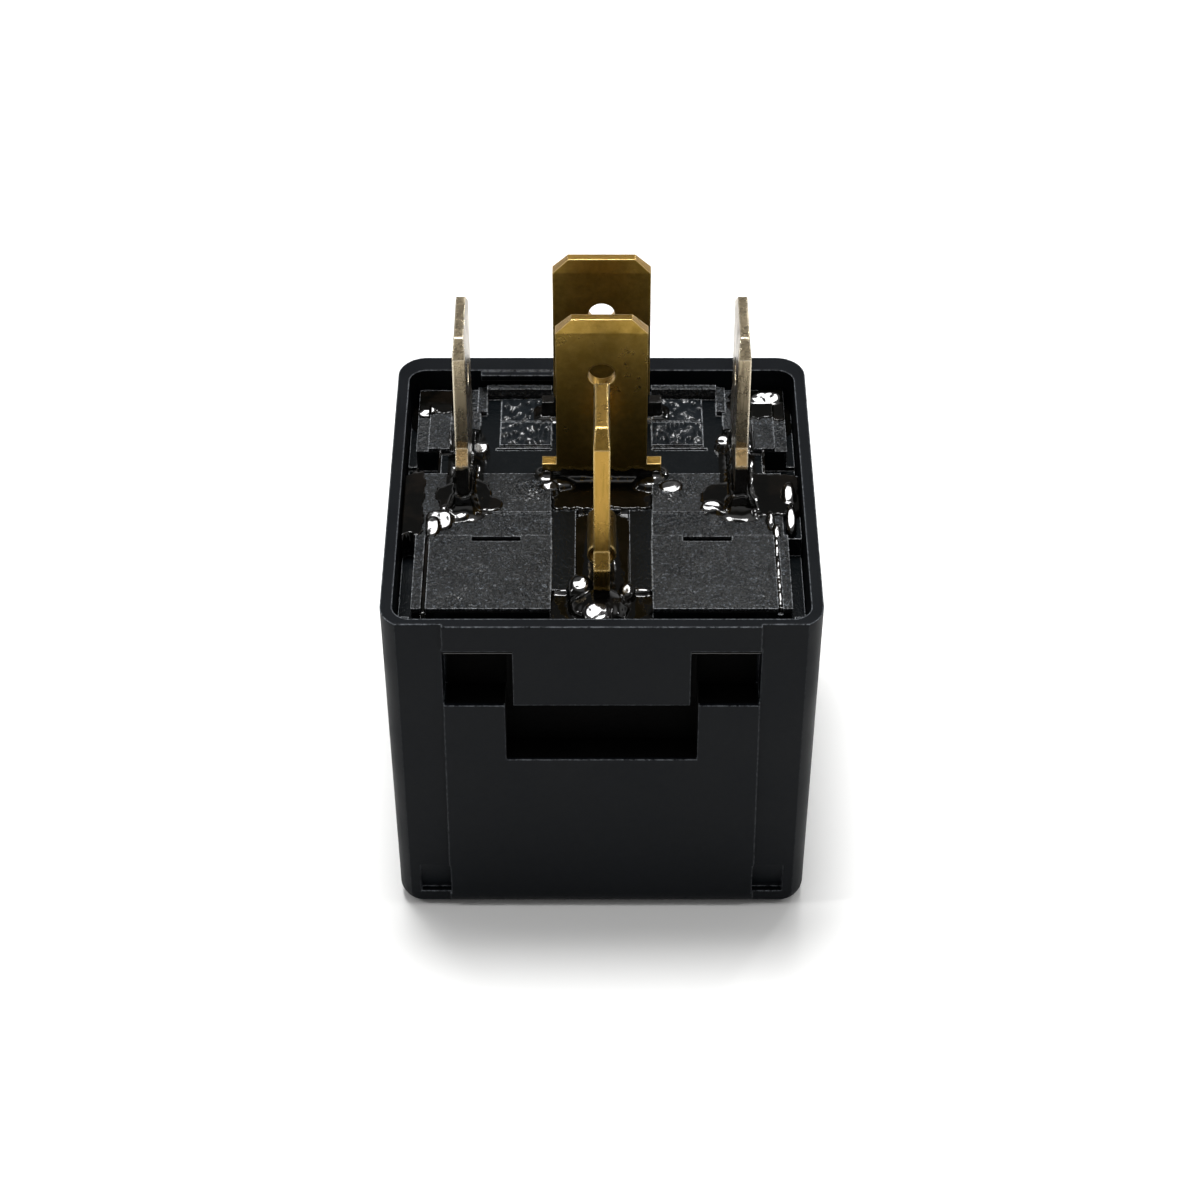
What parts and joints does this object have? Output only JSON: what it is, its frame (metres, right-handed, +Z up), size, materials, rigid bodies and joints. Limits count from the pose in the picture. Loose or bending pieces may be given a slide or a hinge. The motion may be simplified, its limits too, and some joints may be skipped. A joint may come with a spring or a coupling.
{
  "type": "automotive relay",
  "caption": "Cube-shaped plug-in automotive relay standing on its cover, with flat blade terminals, a resin-sealed base and a sprung changeover contact inside.",
  "frame": {"origin": "middle of the closed end of the cover, on the surface it stands on", "axes": "+Z up along the blades, +X to the side of blade 85, +Y to the back where blade 87 is, -Y to the front with the bracket pocket"},
  "size_m": [0.027, 0.027, 0.036],
  "materials": {
    "cover_plastic": "fine matt texture",
    "base_plastic": "satin",
    "resin": "glossy, brown-black",
    "brass": "stamped, dulled",
    "tinned_brass": "tin-plated",
    "bobbin_plastic": "natural",
    "copper_wire": "enamelled copper",
    "wrap_film": "polyester film",
    "soft_iron": "zinc-plated",
    "spring_bronze": "rolled strip",
    "silver_contact": "silver alloy, satin",
    "rivet_steel": "plated"
  },
  "bodies": {
    "housing": {"cover": "cover_plastic", "base": "base_plastic", "sealant": "resin", "terminal_30": "brass", "terminal_87": "brass", "terminal_87a": "brass", "terminal_85": "tinned_brass", "terminal_86": "tinned_brass", "bobbin": "bobbin_plastic", "coil_winding": "copper_wire", "coil_wrap": "wrap_film", "core": "soft_iron", "yoke": "soft_iron", "contact_no": "silver_contact", "contact_nc": "silver_contact", "yoke_rivets": "rivet_steel", "coil_lead_85": "copper_wire", "coil_lead_86": "copper_wire"},
    "armature": {"armature": "soft_iron", "contact_spring": "spring_bronze", "moving_contact": "silver_contact", "armature_rivets": "rivet_steel"}
  },
  "joints": [
    {"name": "armature_pivot", "type": "hinge", "parent": "housing", "child": "armature", "pos_m": [0, -0.0093, 0.00584], "axis": [1, 0, 0], "range_deg": [0, 2.5], "stiffness_Nm_per_rad": 0.05, "springref_deg": -5.73, "deforming": ["contact_spring"]}
  ]
}
